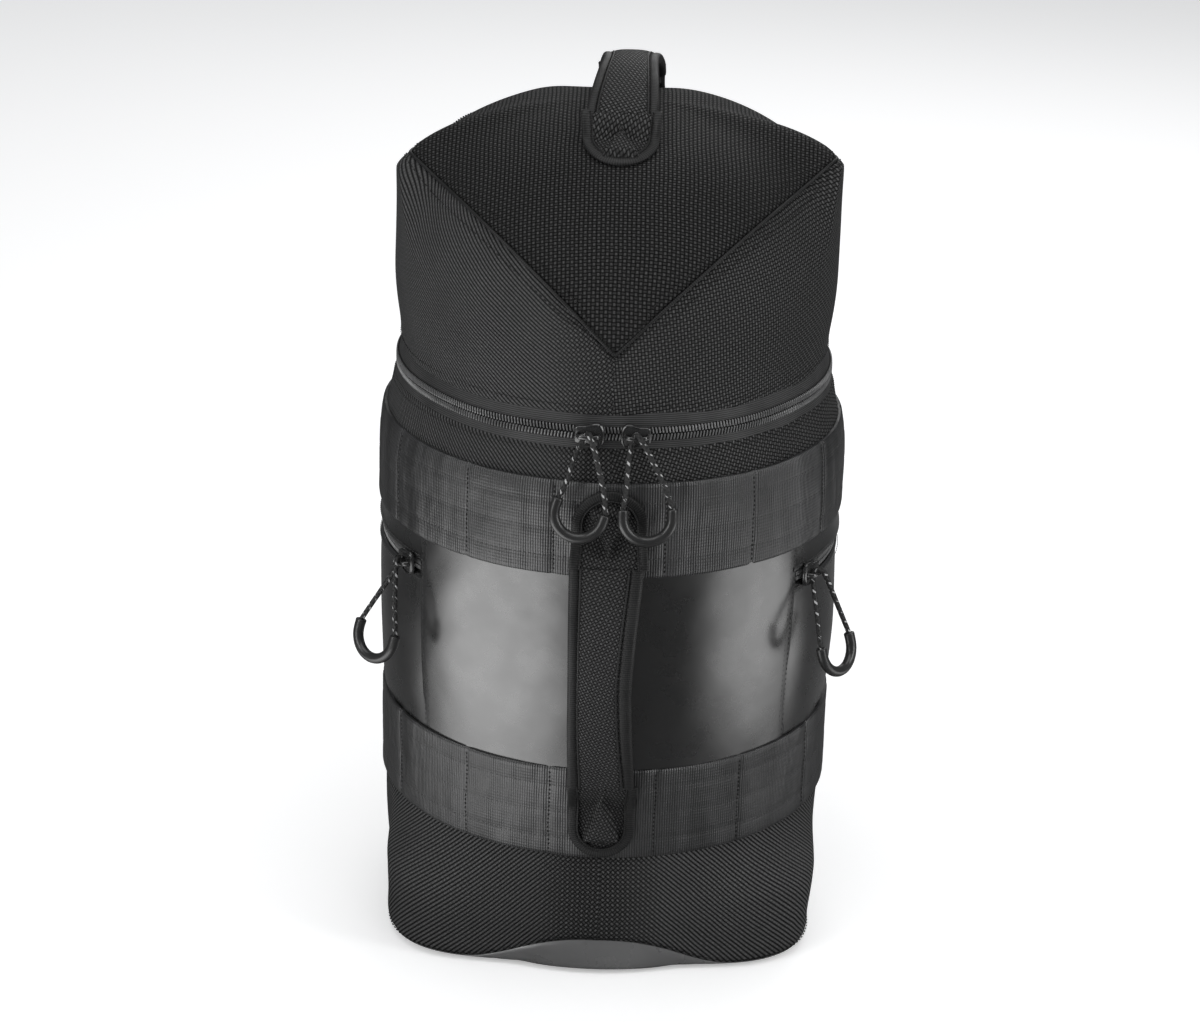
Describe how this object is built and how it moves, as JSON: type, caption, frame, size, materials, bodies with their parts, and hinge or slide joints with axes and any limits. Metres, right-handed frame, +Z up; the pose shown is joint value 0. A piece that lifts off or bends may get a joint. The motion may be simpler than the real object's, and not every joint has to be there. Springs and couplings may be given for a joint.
{
  "type": "carry bag",
  "caption": "Upright padded carry bag with a domed zip-round lid, side zip pockets, webbing bands, front and top handles and shoulder straps.",
  "frame": {"origin": "on the flat underside of the base, at the centre of the round front's arc", "axes": "+Z up along the bag, -Y out of the front with the main zip sliders, +X to the right seen from the front"},
  "size_m": [0.3126, 0.3477, 0.581],
  "materials": {
    "ballistic_nylon": "coarse woven ballistic nylon, matt black",
    "tarpaulin": "coated tarpaulin fabric, semi-gloss black",
    "webbing": "wide ribbed polyester webbing, satin black",
    "binding_tape": "folded binding tape, satin black",
    "zip_coil": "moulded nylon coil on woven tape",
    "slider_metal": "gloss black painted die-cast zinc",
    "cord": "braided cord with reflective flecks",
    "grip_plastic": "satin moulded rubber tube",
    "buckle_plastic": "fine-textured moulded acetal",
    "foam": "closed-cell foam",
    "lining": "smooth polyester lining, dark grey",
    "mesh_fabric": "spacer mesh over foam, matt black",
    "board_plastic": "flat polypropylene stiffener"
  },
  "bodies": {
    "bag": {"back_pad_left": "mesh_fabric", "back_pad_right": "mesh_fabric", "back_panel": "ballistic_nylon", "base_board": "board_plastic", "base_foam": "foam", "base_shell": "tarpaulin", "body_lining": "lining", "body_zip_tape": "zip_coil", "boot_panel": "ballistic_nylon", "collar_panel": "ballistic_nylon", "front_handle_tab_lower": "ballistic_nylon", "front_handle_tab_upper": "ballistic_nylon", "front_panel": "tarpaulin", "hinge_tape": "ballistic_nylon", "lower_band": "webbing", "pocket_front_left": "tarpaulin", "pocket_front_right": "tarpaulin", "pocket_liner_left": "lining", "pocket_liner_right": "lining", "pocket_yoke_left": "tarpaulin", "pocket_yoke_right": "tarpaulin", "pocket_zip_left": "zip_coil", "pocket_zip_right": "zip_coil", "upper_band": "webbing", "wall_foam": "foam"},
    "lid": {"lid_zip_tape": "zip_coil", "lid_skirt": "ballistic_nylon", "lid_top_panel": "ballistic_nylon", "lid_foam": "foam", "lid_lining": "lining", "top_handle_tab_front": "ballistic_nylon", "top_handle_tab_rear": "ballistic_nylon"},
    "front_handle": {"front_handle_sleeve": "ballistic_nylon", "front_handle_core": "foam", "front_handle_binding_left": "binding_tape", "front_handle_binding_right": "binding_tape"},
    "top_handle": {"top_handle_sleeve": "ballistic_nylon", "top_handle_core": "foam", "top_handle_binding_left": "binding_tape", "top_handle_binding_right": "binding_tape"},
    "main_slider_left": {"main_slider_left": "slider_metal"},
    "main_pull_left": {"main_pull_left_cord": "cord", "main_pull_left_grip": "grip_plastic"},
    "main_slider_right": {"main_slider_right": "slider_metal"},
    "main_pull_right": {"main_pull_right_cord": "cord", "main_pull_right_grip": "grip_plastic"},
    "pocket_slider_left": {"pocket_slider_left": "slider_metal"},
    "pocket_pull_left": {"pocket_pull_left_cord": "cord", "pocket_pull_left_grip": "grip_plastic"},
    "pocket_slider_right": {"pocket_slider_right": "slider_metal"},
    "pocket_pull_right": {"pocket_pull_right_cord": "cord", "pocket_pull_right_grip": "grip_plastic"},
    "strap_left": {"strap_pad_left": "mesh_fabric", "ladder_lock_left": "buckle_plastic", "strap_web_left": "webbing"},
    "strap_right": {"strap_pad_right": "mesh_fabric", "ladder_lock_right": "buckle_plastic", "strap_web_right": "webbing"}
  },
  "joints": [
    {"name": "lid_hinge", "type": "hinge", "parent": "bag", "child": "lid", "pos_m": [0, 0.10915, 0.3845], "axis": [-1, 0, 0], "range_deg": [0, 100]},
    {"name": "front_handle_swing", "type": "hinge", "parent": "bag", "child": "front_handle", "pos_m": [0, -0.1555, 0.22025], "axis": [0, 0, 1], "range_deg": [-15, 15]},
    {"name": "top_handle_swing", "type": "hinge", "parent": "lid", "child": "top_handle", "pos_m": [0, -0.014, 0.5545], "axis": [0, 1, 0], "range_deg": [-15, 15]},
    {"name": "main_zip_left", "type": "hinge", "parent": "bag", "child": "main_slider_left", "pos_m": [0, 0, 0.3775], "axis": [0, 0, -1], "range_deg": [0, 112]},
    {"name": "main_pull_swing_left", "type": "hinge", "parent": "main_slider_left", "child": "main_pull_left", "pos_m": [-0.01496, -0.15257, 0.3775], "axis": [-0.9952, 0.0976, 0], "range_deg": [0, 140]},
    {"name": "main_zip_right", "type": "hinge", "parent": "bag", "child": "main_slider_right", "pos_m": [0, 0, 0.3775], "axis": [0, 0, 1], "range_deg": [0, 112]},
    {"name": "main_pull_swing_right", "type": "hinge", "parent": "main_slider_right", "child": "main_pull_right", "pos_m": [0.01496, -0.15257, 0.3775], "axis": [-0.9952, -0.0976, 0], "range_deg": [0, 140]},
    {"name": "pocket_zip_left", "type": "hinge", "parent": "bag", "child": "pocket_slider_left", "pos_m": [0, 0, 0.26325], "axis": [0, 0, -1], "range_deg": [0, 60]},
    {"name": "pocket_pull_swing_left", "type": "hinge", "parent": "pocket_slider_left", "child": "pocket_pull_left", "pos_m": [-0.13425, -0.08389, 0.26325], "axis": [-0.5299, 0.848, 0], "range_deg": [-8, 140]},
    {"name": "pocket_zip_right", "type": "hinge", "parent": "bag", "child": "pocket_slider_right", "pos_m": [0, 0, 0.26325], "axis": [0, 0, 1], "range_deg": [0, 60]},
    {"name": "pocket_pull_swing_right", "type": "hinge", "parent": "pocket_slider_right", "child": "pocket_pull_right", "pos_m": [0.13425, -0.08389, 0.26325], "axis": [-0.5299, -0.848, 0], "range_deg": [-8, 140]},
    {"name": "strap_swing_left", "type": "hinge", "parent": "bag", "child": "strap_left", "pos_m": [-0.043, 0.12765, 0.34], "axis": [0.107, 0.0138, 0.9942], "range_deg": [-20, 20]},
    {"name": "strap_swing_right", "type": "hinge", "parent": "bag", "child": "strap_right", "pos_m": [0.043, 0.12765, 0.34], "axis": [-0.107, 0.0138, 0.9942], "range_deg": [-20, 20]}
  ]
}
